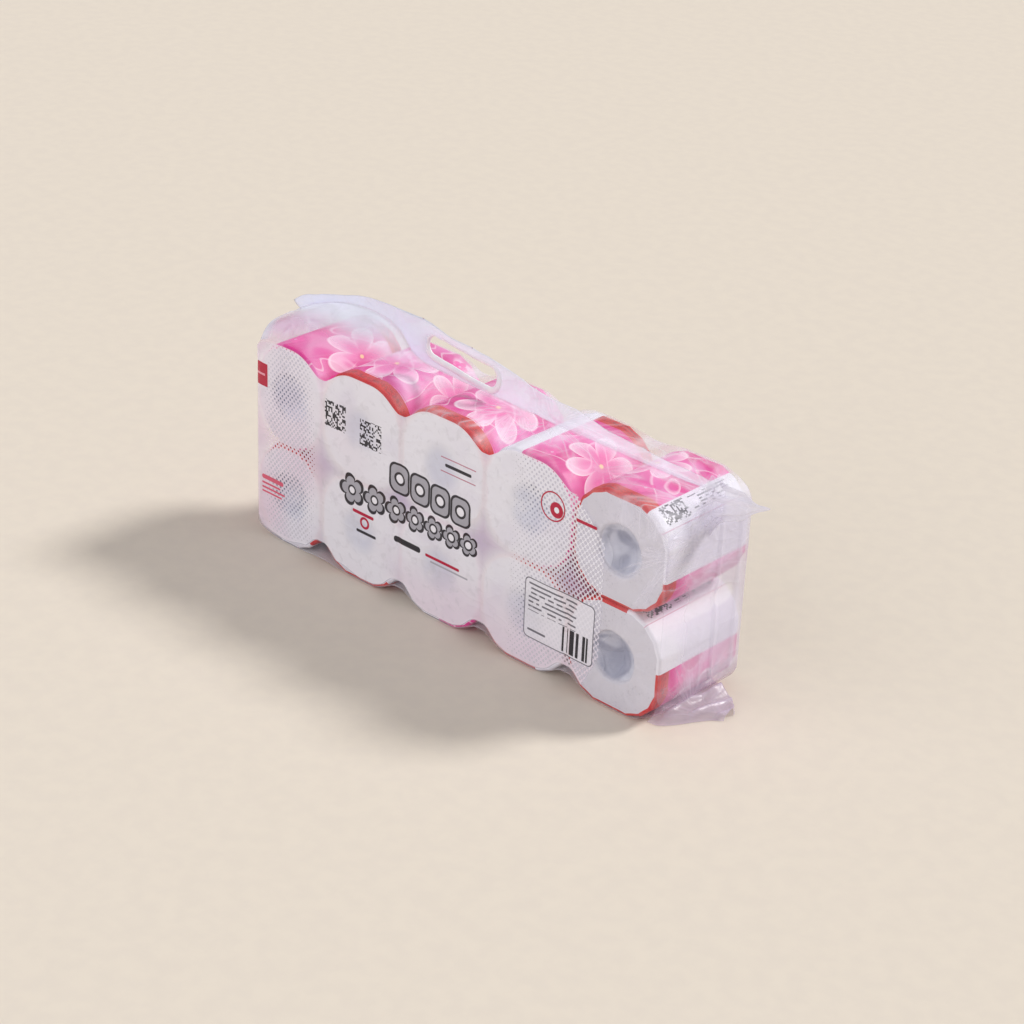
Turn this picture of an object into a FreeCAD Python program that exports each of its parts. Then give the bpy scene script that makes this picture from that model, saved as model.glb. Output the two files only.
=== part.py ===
import FreeCAD, Part
import math
import os
from FreeCAD import Vector

# A carry pack of ten toilet rolls: five columns and two rows of wrapped rolls lie on their sides,
# with their cores along Y, in one clear film bag that ends in a fin with a handle slot.
# Millimetres, +Z up, X along the pack, -Y the printed front. The origin is on the floor,
# under the middle column.

# Rolls
sheet_width = 100.0          # length of each roll, along Y
column_widths = [82.0, 97.0, 97.0, 97.0, 97.0]   # the bag's end squeezes the first column
row_height = 96.5
row_names = ["lower", "upper"]
squash_radius = 38.0         # corner radius left on a roll pressed against its neighbours
corner_sides = 4             # the wrapper's pleats give each corner this many flat sides
roll_gap = 0.3               # between two wrapped rolls
core_bore_radius = 23.0
core_wall = 1.0
core_sides = 24
core_fit = 0.1               # between the cardboard and the paper wound on it

# Printed wrapper of each roll
wrapper_film = 0.2
wrapper_gap = 0.15           # between the wrapper and the paper
pleat_count = 8
tuck_gap = 0.3               # between the tucked film and the core's bore
tuck_depth = 16.0
tuck_neck_depth = 5.0        # where the pleats start to close
tuck_neck_share = 0.8        # radius there, as a share of the mouth's
tuck_end_radius = 7.0
pleat_fold_share = 0.82      # inner radius of a fold, as a share of its outer radius

# Carry bag
bag_film = 0.3
bag_gap = 0.3                # between the bag and the wrapped rolls
valley_width = 7.0           # flat bottom of the dip between two columns
top_valley_drop = 16.0
back_drop_share = 0.3        # at the back the film is pulled straighter across the top dips
bottom_valley_drop = 12.5
top_corner_fill = {"left": 0.5, "right": 0.45}      # 0 follows the roll's corner, 1 is square
bottom_corner_fill = {"left": 0.75, "right": 1.0}
shoulder_share = 0.14        # places of the roof's two folds between the front edge and the seal
middle_share = 0.5
shoulder_rise = {"slack": 0.5, "tight": 0.08}       # share of the roof's rise reached there
middle_rise = {"slack": 0.88, "tight": 0.4}
slack_length = 150.0         # air bulges the roof this far from the left end
gather_depth = 1.6           # height of the small pleats that fan out along the seal
fin_thickness = 0.7          # two layers of film, sealed

# Height above the rolls of the fin's top edge and of the seal where the roof panels meet.
# Each pair is a place along X from the bag's left end and a height.
fin_top_line = [(0, 16), (24, 30), (58, 42), (95, 48), (160, 46), (216, 44), (240, 39),
                (263, 28), (300, 21), (330, 21), (362, 8), (440, 5), (470, 12)]
seal_line = [(0, 10), (24, 22), (58, 33), (95, 38), (122, 34), (142, 11), (170, 7),
             (250, 5), (300, 4), (440, 3), (470, 6)]

# Handle slot, with a rolled rim
slot_length = 81.0
slot_width = 20.0
slot_x = -28.5
slot_height = 25.0           # slot centre above the rolls
slot_tilt = 7.0              # degrees, down towards the right
rim_width = 3.5
rim_thickness = 2.2

# Ears at the ends of the top and bottom seals
ear_thickness = 0.8
top_ear_length = 46.0
top_ear_low = 24.0           # how far the ear's root reaches below the rolls' top
top_ear_swing = 12.0         # the tip leans back
ear_tip_height = 5.0
bottom_ear_length = 31.0
bottom_ear_front = 44.0      # reach of its root to the front and to the back
bottom_ear_back = 28.0
bottom_ear_rise = 9.0        # hump where it leaves the end panel
left_ear_share = 0.5         # the left ear is folded in and shows half its length

# Worked out from the sizes above
middle_column = len(column_widths) // 2
rolled_height = row_height - roll_gap
bag_clear = bag_gap + bag_film
rolls_top = bag_clear + row_height * len(row_names) - roll_gap
column_edges = [-sum(column_widths[:middle_column]) - column_widths[middle_column] / 2]
for column_width in column_widths:
    column_edges.append(column_edges[-1] + column_width)
core_radius = core_bore_radius + core_wall
wrapper_length = sheet_width + 2 * (wrapper_gap + wrapper_film)
left_end = column_edges[0] + roll_gap / 2 - bag_clear
right_end = column_edges[-1] - roll_gap / 2 + bag_clear


def closed_wire(points):
    return Part.makePolygon(points + [points[0]])


def along_y(wire, length):
    # A solid of the given length, centred on y = 0, from a closed wire drawn in the XZ plane.
    face = Part.Face(wire)
    face.translate(Vector(0, -length / 2, 0))
    return face.extrude(Vector(0, length, 0))


def corner_offsets(radius):
    # Corner points of a pressed roll's outline, seen from the centre of the corner's arc.
    # The sides touch the arc, so that flats and corners keep their distance when it grows.
    step = math.pi / 2 / corner_sides
    reach = radius / math.cos(step / 2)
    angles = [step * (i + 0.5) for i in range(corner_sides)]
    return [(reach * math.cos(a), reach * math.sin(a)) for a in angles]


def pressed_outline(width, height, radius):
    flat_x = width / 2 - radius
    flat_z = height / 2 - radius
    points = []
    for sign_x, sign_z in ((1, 1), (-1, 1), (-1, -1), (1, -1)):
        offsets = corner_offsets(radius)
        if sign_x * sign_z < 0:
            offsets.reverse()
        for along, up in offsets:
            points.append(Vector(sign_x * (flat_x + along), 0, sign_z * (flat_z + up)))
    return closed_wire(points)


def pressed_solid(width, height, inset, length):
    # A pressed roll's outer form, with its wall moved in by inset.
    outline = pressed_outline(width - 2 * inset, height - 2 * inset, squash_radius - inset)
    return along_y(outline, length)


def core_outline(radius):
    reach = radius / math.cos(math.pi / core_sides)
    angles = [2 * math.pi * (i + 0.5) / core_sides for i in range(core_sides)]
    return closed_wire([Vector(reach * math.cos(a), 0, reach * math.sin(a)) for a in angles])


def pleat_ring(outer_radius, y):
    # A star that alternates between the ridges and the folds of the gathered film.
    points = []
    for i in range(2 * pleat_count):
        angle = math.pi * i / pleat_count
        radius = outer_radius * (1 if i % 2 == 0 else pleat_fold_share)
        points.append(Vector(radius * math.cos(angle), y, radius * math.sin(angle)))
    return points


def faceted_solid(rings, split):
    # A closed solid through rings of points. Its sides are flat, or split in two where they twist.
    faces = [Part.Face(closed_wire(rings[0])), Part.Face(closed_wire(rings[-1]))]
    for low, high in zip(rings, rings[1:]):
        for i in range(len(low)):
            j = (i + 1) % len(low)
            if split:
                faces.append(Part.Face(closed_wire([low[i], low[j], high[j]])))
                faces.append(Part.Face(closed_wire([low[i], high[j], high[i]])))
            else:
                faces.append(Part.Face(closed_wire([low[i], low[j], high[j], high[i]])))
    shell = Part.makeShell(faces)
    shell.sewShape()
    solid = Part.makeSolid(shell.Shells[0])
    if solid.Volume < 0:
        solid.reverse()
    return solid


def tuck(end_y, side, shrink):
    # The pleated pocket where the wrapper's end is pushed into the core. side is -1 at the front.
    mouth = core_bore_radius - tuck_gap - shrink
    rings = [
        pleat_ring(mouth, end_y),
        pleat_ring(mouth * tuck_neck_share, end_y - side * tuck_neck_depth),
        pleat_ring(tuck_end_radius - shrink, end_y - side * (tuck_depth - shrink)),
    ]
    return faceted_solid(rings, False)


def make_paper(width):
    inset = wrapper_film + wrapper_gap
    body = pressed_solid(width, rolled_height, inset, sheet_width)
    return body.cut(along_y(core_outline(core_radius + core_fit), 2 * sheet_width))


def make_core():
    tube = along_y(core_outline(core_radius), sheet_width)
    return tube.cut(along_y(core_outline(core_bore_radius), 2 * sheet_width))


def make_wrapper(width):
    outer = pressed_solid(width, rolled_height, 0, wrapper_length)
    hollow = pressed_solid(width, rolled_height, wrapper_film, wrapper_length - 2 * wrapper_film)
    for side in (-1, 1):
        end_y = side * wrapper_length / 2
        outer = outer.cut(tuck(end_y, side, wrapper_film))
        hollow = hollow.cut(tuck(end_y, side, 0))
    return outer.cut(hollow)


def height_on(line, distance):
    # Straight interpolation between the places of a height line.
    if distance <= line[0][0]:
        return line[0][1]
    for (x0, h0), (x1, h1) in zip(line, line[1:]):
        if distance <= x1:
            return h0 + (h1 - h0) * (distance - x0) / (x1 - x0)
    return line[-1][1]


def bag_stations(grow):
    # Places along X with how far the film drops there from the rolls' top, at the front and at the
    # back, and how far it rises from the floor.
    # Over a roll it follows the corner's sides, and between two columns it crosses a valley.
    radius = squash_radius + grow
    corner = [(along, radius - up) for along, up in corner_offsets(radius)]
    steep = corner[:corner_sides // 2]
    gentle = corner[corner_sides // 2:]
    stations = []
    last = len(column_widths) - 1
    for i in range(len(column_widths)):
        left = column_edges[i] + roll_gap / 2 + squash_radius
        right = column_edges[i + 1] - roll_gap / 2 - squash_radius
        if i == 0:
            top_left = 1 - top_corner_fill["left"]
            floor_left = 1 - bottom_corner_fill["left"]
            for along, drop in steep:
                stations.append((left - along, drop * top_left, drop * top_left, drop * floor_left))
            for along, drop in gentle:
                stations.append((left - along, drop * top_left, drop * top_left, drop * floor_left))
        else:
            for along, drop in gentle:
                stations.append((left - along, drop, drop * back_drop_share, drop))
        if i == last:
            top_right = 1 - top_corner_fill["right"]
            floor_right = 1 - bottom_corner_fill["right"]
            for along, drop in reversed(corner):
                stations.append((right + along, drop * top_right, drop * top_right, drop * floor_right))
        else:
            for along, drop in reversed(gentle):
                stations.append((right + along, drop, drop * back_drop_share, drop))
            back_valley_drop = top_valley_drop * back_drop_share
            for side in (-1, 1):
                x = column_edges[i + 1] + side * valley_width / 2
                stations.append((x, top_valley_drop, back_valley_drop, bottom_valley_drop))
    return stations


def section_half(number, x, top_drop, bottom, grow):
    # From the bottom edge up one side of the bag and over its roof, as depths and heights.
    front = wrapper_length / 2 + grow
    top = rolls_top + grow - top_drop
    distance = x - left_end
    slack = max(0.0, 1 - distance / slack_length)
    gather = gather_depth * (number % 2) - (bag_clear - grow)
    rise = rolls_top + height_on(seal_line, distance) - top
    shoulder = top + rise * (shoulder_rise["tight"] * (1 - slack) + shoulder_rise["slack"] * slack)
    middle = top + gather + rise * (middle_rise["tight"] * (1 - slack) + middle_rise["slack"] * slack)
    shoulder_y = front - front * shoulder_share
    middle_y = front - front * middle_share
    return [(front, bottom), (front, top), (shoulder_y, shoulder), (middle_y, max(middle, top))]


def bag_section(number, station, grow, with_fin):
    x, front_drop, back_drop, floor_rise = station
    inset = bag_clear - grow
    distance = x - left_end
    seal = rolls_top + height_on(seal_line, distance)
    if with_fin:
        half_fin = fin_thickness / 2
        seam = [(half_fin, seal), (half_fin, rolls_top + height_on(fin_top_line, distance))]
    else:
        seam = [(0, seal - 3 * inset)]
    front_half = section_half(number, x, front_drop, inset + floor_rise, grow) + seam
    back_half = section_half(number, x, back_drop, inset + floor_rise, grow) + seam
    if not with_fin:
        back_half.pop()
    profile = [(-y, z) for y, z in front_half] + [(y, z) for y, z in reversed(back_half)]
    return [Vector(x, y, z) for y, z in profile]


def bag_form(grow, with_fin):
    stations = bag_stations(grow)
    rings = [bag_section(i, s, grow, with_fin) for i, s in enumerate(stations)]
    return faceted_solid(rings, True)


def slot_outline(extra):
    # The handle slot's outline, with round ends, grown by extra.
    straight = (slot_length - slot_width) / 2
    radius = slot_width / 2 + extra
    edges = []
    for side in (-1, 1):
        start = Vector(-side * straight, 0, side * radius)
        end = Vector(side * straight, 0, side * radius)
        tip = Vector(side * (straight + radius), 0, 0)
        edges.append(Part.LineSegment(start, end).toShape())
        edges.append(Part.Arc(end, tip, Vector(side * straight, 0, -side * radius)).toShape())
    wire = Part.Wire(edges)
    wire.rotate(Vector(0, 0, 0), Vector(0, 1, 0), slot_tilt)
    wire.translate(Vector(slot_x, 0, rolls_top + slot_height))
    return wire


def plate_ring(x, y_low, y_high, z_low, z_high):
    corners = [(y_low, z_low), (y_high, z_low), (y_high, z_high), (y_low, z_high)]
    return [Vector(x, y, z) for y, z in corners]


def top_ear():
    # The pinched end of the top seal, standing on edge beyond the right end.
    half = ear_thickness / 2
    distance = right_end - left_end
    low = rolls_top - top_ear_low
    high = rolls_top + height_on(fin_top_line, distance)
    tip_z = rolls_top + height_on(seal_line, distance)
    bend = top_ear_swing / 3
    middle_x = right_end + top_ear_length * 0.4
    middle_low = (low + tip_z) / 2
    return faceted_solid([
        plate_ring(right_end - bag_film, -half, half, low, high),
        plate_ring(middle_x, bend - half, bend + half, middle_low, tip_z + ear_tip_height),
        plate_ring(right_end + top_ear_length, top_ear_swing - half, top_ear_swing + half,
                   tip_z - ear_tip_height / 2, tip_z + ear_tip_height / 2),
    ], True)


def bottom_ear(end_x, direction, length, root_z):
    # The flattened end of the bottom seal, which humps and then lies on the floor.
    hump_z = root_z + bottom_ear_rise
    rings = [
        plate_ring(end_x - direction * bag_film, -bottom_ear_front, bottom_ear_back,
                   root_z, root_z + ear_thickness),
        plate_ring(end_x + direction * length * 0.3, -bottom_ear_front * 0.75, bottom_ear_back,
                   hump_z - ear_thickness, hump_z),
        plate_ring(end_x + direction * length * 0.7, -bottom_ear_front * 0.4, bottom_ear_back * 0.8,
                   hump_z * 0.25, hump_z * 0.25 + ear_thickness),
        plate_ring(end_x + direction * length, -bottom_ear_front * 0.25, bottom_ear_back * 0.3,
                   0, ear_thickness),
    ]
    return faceted_solid(rings, True)


def make_bag():
    left_root = bag_stations(bag_clear)[0][3] + ear_thickness
    outer = bag_form(bag_clear, True)
    outer = outer.fuse(along_y(slot_outline(rim_width), rim_thickness))
    outer = outer.cut(along_y(slot_outline(0), 2 * rim_thickness))
    outer = outer.fuse(top_ear())
    outer = outer.fuse(bottom_ear(right_end, 1, bottom_ear_length, ear_thickness))
    outer = outer.fuse(bottom_ear(left_end, -1, bottom_ear_length * left_ear_share, left_root))
    return outer.removeSplitter().cut(bag_form(bag_gap, False).removeSplitter())


def write(shape, name):
    solids = shape.Solids
    assert len(solids) == 1 and solids[0].isValid() and solids[0].Volume > 0, name
    shape.exportStep(os.path.join("parts", name + ".step"))
    print(name, len(shape.Faces), "faces", round(shape.Volume / 1000, 2), "cm3")


def build():
    os.makedirs("parts", exist_ok=True)
    core = make_core()
    for column, width in enumerate(column_widths):
        centre_x = (column_edges[column] + column_edges[column + 1]) / 2
        paper = make_paper(width - roll_gap)
        wrapper = make_wrapper(width - roll_gap)
        for row, row_name in enumerate(row_names):
            place = Vector(centre_x, 0, bag_clear + rolled_height / 2 + row * row_height)
            for piece, name in ((paper, "paper"), (core, "core"), (wrapper, "wrapper")):
                placed = piece.copy()
                placed.translate(place)
                write(placed, f"{row_name}_roll_{column + 1}_{name}")
    write(make_bag(), "carry_bag")


build()
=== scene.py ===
import bpy
import math
from mathutils import Matrix, Vector, noise


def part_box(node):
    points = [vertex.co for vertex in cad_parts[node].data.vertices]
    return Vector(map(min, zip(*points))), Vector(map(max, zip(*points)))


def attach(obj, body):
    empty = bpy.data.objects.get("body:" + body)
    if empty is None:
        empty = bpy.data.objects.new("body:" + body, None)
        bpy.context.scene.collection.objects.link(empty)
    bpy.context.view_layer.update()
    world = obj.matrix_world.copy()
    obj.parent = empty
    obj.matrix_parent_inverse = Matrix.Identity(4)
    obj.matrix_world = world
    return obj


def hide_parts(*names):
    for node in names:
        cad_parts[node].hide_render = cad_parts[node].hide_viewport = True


# A carry pack of ten wrapped toilet rolls in a clear film bag. Metres, +Z up, -Y the printed front.
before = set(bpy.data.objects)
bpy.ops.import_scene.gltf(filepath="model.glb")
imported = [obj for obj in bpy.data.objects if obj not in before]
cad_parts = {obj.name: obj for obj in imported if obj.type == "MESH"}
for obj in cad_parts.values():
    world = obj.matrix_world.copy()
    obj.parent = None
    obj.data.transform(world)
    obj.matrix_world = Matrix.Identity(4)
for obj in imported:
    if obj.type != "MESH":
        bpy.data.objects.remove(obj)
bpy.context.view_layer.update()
print("frame loaded")

mm = 0.001


def clearSelection():
    if bpy.context.object and bpy.context.object.mode != "OBJECT":
        bpy.ops.object.mode_set(mode="OBJECT")
    bpy.ops.object.select_all(action="DESELECT")


def pick(piece):
    clearSelection()
    piece.select_set(True)
    bpy.context.view_layer.objects.active = piece


def smooth(low, high, value):
    share = min(1.0, max(0.0, (value - low) / (high - low)))
    return share * share * (3 - 2 * share)


def blendMax(a, b, width):
    # the larger of two heights, rounded where they cross
    h = max(width - abs(a - b), 0.0) / width
    return max(a, b) + h * h * width * 0.25


def fromLine(line, place):
    # a height on a smooth line through (place, height) pairs
    if place <= line[0][0]:
        return line[0][1]
    last = len(line) - 1
    for k in range(last):
        (x0, h0), (x1, h1) = line[k], line[k + 1]
        if place <= x1:
            xa, ha = line[max(0, k - 1)]
            xb, hb = line[min(last, k + 2)]
            slope0 = (h1 - ha) / (x1 - xa) * (x1 - x0)
            slope1 = (hb - h0) / (xb - x0) * (x1 - x0)
            t = (place - x0) / (x1 - x0)
            return (h0 * (1 + 2 * t) * (1 - t) ** 2 + slope0 * t * (1 - t) ** 2
                    + h1 * t * t * (3 - 2 * t) + slope1 * t * t * (t - 1))
    return line[-1][1]


# ---- shader helper ----
class Shade:
    # one value, colour or vector of a material, which Python sums can use
    def __init__(self, tree, socket):
        self.tree = tree
        self.socket = socket

    def node(self, kind, settings=None, inputs=None, out=0):
        made = self.tree.nodes.new(kind)
        for name, value in (settings or {}).items():
            if name == "stops":
                ramp = made.color_ramp
                while len(ramp.elements) < len(value):
                    ramp.elements.new(0.5)
                for element, (place, colour) in zip(ramp.elements, value):
                    element.position = place
                    element.color = (*colour, 1)
            else:
                setattr(made, name, value)
        for key, value in (inputs or {}).items():
            if isinstance(value, Shade):
                self.tree.links.new(value.socket, made.inputs[key])
            else:
                made.inputs[key].default_value = value
        return Shade(self.tree, made.outputs[out])

    def math(self, operation, *values):
        return self.node("ShaderNodeMath", {"operation": operation}, dict(enumerate(values)))

    def __add__(self, other): return self.math("ADD", self, other)
    def __radd__(self, other): return self.math("ADD", other, self)
    def __sub__(self, other): return self.math("SUBTRACT", self, other)
    def __rsub__(self, other): return self.math("SUBTRACT", other, self)
    def __mul__(self, other): return self.math("MULTIPLY", self, other)
    def __rmul__(self, other): return self.math("MULTIPLY", other, self)
    def __truediv__(self, other): return self.math("DIVIDE", self, other)
    def __pow__(self, other): return self.math("POWER", self, other)
    def __abs__(self): return self.math("ABSOLUTE", self)

    def floor(self): return self.math("FLOOR", self)
    def fract(self): return self.math("FRACT", self)
    def most(self, other): return self.math("MAXIMUM", self, other)
    def least(self, other): return self.math("MINIMUM", self, other)

    def part(self, index):
        # one number of a place: 0, 1 or 2
        return self.node("ShaderNodeSeparateXYZ", None, {0: self}, index)

    def joined(self, a, b, c):
        return self.node("ShaderNodeCombineXYZ", None, {0: a, 1: b, 2: c})

    def noise(self, scale, detail=2.0, distortion=0.0):
        # clouds over the place that self gives
        inputs = {"Vector": self, "Scale": scale, "Detail": detail, "Distortion": distortion}
        return self.node("ShaderNodeTexNoise", None, inputs)

    def chance(self, dimensions):
        # one random number for each whole place
        return self.node("ShaderNodeTexWhiteNoise", {"noise_dimensions": dimensions}, {"Vector": self})

    def ridged(self, sharpness):
        # thin lines where a noise crosses its middle
        return (1 - abs(self * 2 - 1)) ** sharpness

    def bump(self, strength, distance):
        # self as a height, made a normal
        return self.node("ShaderNodeBump", None, {"Strength": strength, "Distance": distance, "Height": self})

    def rise(self, low, high):
        # 0 below low, 1 above high
        return self.node("ShaderNodeMapRange", {"interpolation_type": "SMOOTHSTEP"},
                         {0: self, 1: low, 2: high, 3: 0.0, 4: 1.0})

    def fall(self, low, high):
        return 1 - self.rise(low, high)

    def mix(self, a, b):
        # colour a where self is 0, b where it is 1
        inputs = {0: self}
        for slot, value in ((6, a), (7, b)):
            inputs[slot] = value if isinstance(value, Shade) else (*value, 1)
        return self.node("ShaderNodeMix", {"data_type": "RGBA"}, inputs, 2)


def fromPaint(red, green, blue):
    # a colour as a paint program writes it, 0 to 255, made linear
    def line(c):
        c /= 255
        return c / 12.92 if c <= 0.04045 else ((c + 0.055) / 1.055) ** 2.4
    return (line(red), line(green), line(blue))


def newMaterial(name, fixed):
    # a material with its Principled shader, and a Shade to start sums from
    material = bpy.data.materials.new(name)
    material.use_nodes = True
    tree = material.node_tree
    shader = tree.nodes["Principled BSDF"]
    for key, value in fixed.items():
        shader.inputs[key].default_value = value
    return material, Shade(tree, shader.outputs[0]), shader


def feed(start, shader, key, value):
    start.tree.links.new(value.socket, shader.inputs[key])


def objectPlace(start):
    return start.node("ShaderNodeTexCoord", out=3)


def weld(threshold, bridgeRims=False):
    # merges the active piece's doubles and turns its faces outwards
    bpy.ops.object.mode_set(mode="EDIT")
    bpy.ops.mesh.select_all(action="SELECT")
    bpy.ops.mesh.remove_doubles(threshold=threshold)
    if bridgeRims:
        bpy.ops.mesh.select_all(action="DESELECT")
        bpy.ops.mesh.select_non_manifold()
        bpy.ops.mesh.bridge_edge_loops()
        bpy.ops.mesh.select_all(action="SELECT")
    bpy.ops.mesh.normals_make_consistent(inside=False)
    bpy.ops.object.mode_set(mode="OBJECT")
    bpy.ops.object.shade_smooth()


def joinParts(parts, keeper):
    clearSelection()
    for part in parts:
        part.select_set(True)
    bpy.context.view_layer.objects.active = keeper
    bpy.ops.object.join()


def finishPiece(piece, material, node):
    piece.data.materials.clear()
    piece.data.materials.append(material)
    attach(piece, "root")
    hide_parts(node)


# ---- rolls: sizes read from the frame ----
rowNames = ["lower", "upper"]
columnCount = 5
rollLook = {
    "cornerRadius": 38.0,
    "facets": 4,             # straight pleats round each corner of the end edge
    "cornerOut": 0.65,       # the wrapper is a little fuller than the flat-sided solid
    "edgeFold": 2.8,         # radius of the fold from the side to the end
    "mouthRadius": 22.3,
    "mouthLip": 2.2,
    "tuckDepth": 14.0,       # how far the gathered film goes into the core
    "endPleats": 17,
    "around": 144, "tissueAround": 72, "along": 22,
    "tissueInset": 0.5,
    "boreRadius": 24.3,
}
# where the art starts round each roll, 0 at the top and clockwise from the front,
# and whether the red edge is at the front end
printTurn = {
    "upper": [0.33, 0.47, 0.40, 0.032, 0.714],
    "lower": [0.40, 0.62, 0.30, 0.55, 0.76],
}
redInFront = {
    "upper": [False, True, True, False, True],
    "lower": [True, True, False, True, True],
}


def pressedOutline(halfWidth, halfHeight, turn, inset, pleated):
    # a point on the pressed roll's outline, clockwise from the top centre
    # pleated is 0 for smooth corners, 1 for straight pleats
    radius = rollLook["cornerRadius"]
    flatW = halfWidth - radius
    flatH = halfHeight - radius
    arc = math.pi * radius / 2
    lengths = [flatW, arc, 2 * flatH, arc, 2 * flatW, arc, 2 * flatH, arc, flatW]
    at = (turn % 1.0) * sum(lengths)
    step = 0
    while at > lengths[step] and step < 8:
        at -= lengths[step]
        step += 1
    corners = {
        1: (flatW, flatH, 90),
        3: (flatW, -flatH, 0),
        5: (-flatW, -flatH, -90),
        7: (-flatW, flatH, 180),
    }
    if step in corners:
        cx, cz, start = corners[step]
        share = at / arc
        angle = math.radians(start) - share * math.pi / 2
        each = math.pi / 2 / rollLook["facets"]
        off = share * math.pi / 2
        off -= each * round(off / each)
        pleatOut = (radius / math.cos(off) - radius) * 1.35
        smoothOut = rollLook["cornerOut"] * smooth(0, 0.12, share) * smooth(0, 0.12, 1 - share)
        reach = radius - inset + smoothOut * (1 - pleated) + pleatOut * pleated
        return cx + reach * math.cos(angle), cz + reach * math.sin(angle)
    return {
        0: (at, halfHeight - inset),
        2: (halfWidth - inset, flatH - at),
        4: (flatW - at, -halfHeight + inset),
        6: (-halfWidth + inset, -flatH + at),
        8: (-flatW + at, halfHeight - inset),
    }[step]


def endRows(forWrapper):
    # rows from the middle of the front end out to the edge, then along the side: (kind, share)
    rows = []
    if forWrapper:
        tucks = (0.0, 0.07, 0.15, 0.23, 0.31, 0.4, 0.49, 0.58, 0.67, 0.76, 0.84, 0.91, 0.96, 1.0)
        rows += [("tuck", s) for s in tucks]
        rows += [("lip", s) for s in (0.2, 0.45, 0.7, 0.9)]
    else:
        rows += [("bore", 0.0)]
    rows += [("face", s) for s in (0.0, 0.06, 0.14, 0.24, 0.35, 0.47, 0.6, 0.72, 0.82, 0.9, 0.96)]
    rows += [("fold", s) for s in (0.0, 0.2, 0.4, 0.6, 0.8)]
    return rows


def planes(a, b, seed, count):
    # a crumpled bowl over the unit disc: the highest of a few tilted planes
    best = -1.0
    for k in range(count):
        turn = math.tau * (k / count + 0.09 * math.sin(seed * 3.1 + k * 2.3))
        slope = 0.85 + 0.35 * math.sin(seed * 1.7 + k * 4.1)
        best = max(best, slope * (a * math.cos(turn) + b * math.sin(turn)))
    return best


def rollPoint(row, turn, halfW, halfH, half, seed, inset):
    # a point of the front end or side, about the roll's own middle; y is how far out along the roll
    look = rollLook
    kind, share = row
    fold = look["edgeFold"]
    if kind == "side":
        y = (half - fold) * (2 * share - 1)
        near = 1 - smooth(0, 13, half - fold - abs(y))
        x, z = pressedOutline(halfW, halfH, turn, inset, near)
        return x, y, z
    ex, ez = pressedOutline(halfW, halfH, turn, inset + fold, 1.0)
    size = math.hypot(ex, ez)
    dx, dz = ex / size, ez / size
    angle = math.atan2(dz, dx)
    if kind == "fold":
        # a quarter turn from the face to the side
        a = share * math.pi / 2
        x, z = pressedOutline(halfW, halfH, turn, inset + fold * (1 - math.sin(a)), 1.0)
        return x, half - fold + fold * math.cos(a) + 0.35 * math.cos(a), z
    lip = look["mouthLip"]
    mouth = look["mouthRadius"] + lip
    step = angle / math.tau * look["endPleats"] + 0.35 * noise.noise(Vector((dx, dz, seed))) + seed
    pleat = step - math.floor(step)
    ridge = smooth(0, 0.75, pleat) * (1 - smooth(0.82, 1.0, pleat))
    n = noise.noise(Vector((dx * 2.0 + seed * 3.1, dz * 2.0, share * 1.5)))
    pinch = abs(math.sin(angle * 2.5 + seed * 2.1)) ** 1.5
    pinch *= 0.8 + 0.8 * noise.noise(Vector((dx * 1.5, dz * 1.5, seed * 5.3)))
    if kind == "face":
        x = dx * mouth + (ex - dx * mouth) * share
        z = dz * mouth + (ez - dz * mouth) * share
        puff = 0.25 * math.sin(math.pi * share) + 0.38 * ridge * (1 - 0.5 * share) * smooth(0, 0.1, 1 - share)
        puff += 0.15 * n
        return x, half + 0.35 + max(-0.1, puff), z
    if kind == "bore":
        return dx * look["boreRadius"], half - 0.1, dz * look["boreRadius"]
    if kind == "lip":
        # share runs from the mouth outwards, over a rounded edge
        a = (1 - share) * math.pi / 2
        r = mouth - lip * math.sin(a) - 1.3 * pinch * (1 - share)
        return dx * r, half + 0.35 - lip * (1 - math.cos(a)) + 0.3 * ridge * share, dz * r
    r = look["mouthRadius"] * share - 1.3 * pinch * share ** 3
    a, b = dx * share, dz * share
    bowl = planes(a + 0.12 * math.sin(seed), b + 0.12 * math.cos(seed * 2), seed, 6)
    cross = planes(a - 0.35 * math.sin(seed * 1.9), b + 0.3 * math.cos(seed), seed + 4.4, 4)
    cross -= 0.45 * planes(b * 1.3 - 0.2, a * 1.3 + 0.4 * math.sin(seed * 2.7), seed + 8.1, 3)
    cup = 1 - share ** 4
    depth = lip - 0.35 + cup * (look["tuckDepth"] * (1.0 - 0.75 * bowl) + 6.0 * cross * (1 - share))
    twist = (1 - share) * 0.5
    c, s = math.cos(twist), math.sin(twist)
    return (dx * c - dz * s) * r, half - max(0.5, depth), (dx * s + dz * c) * r


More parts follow.
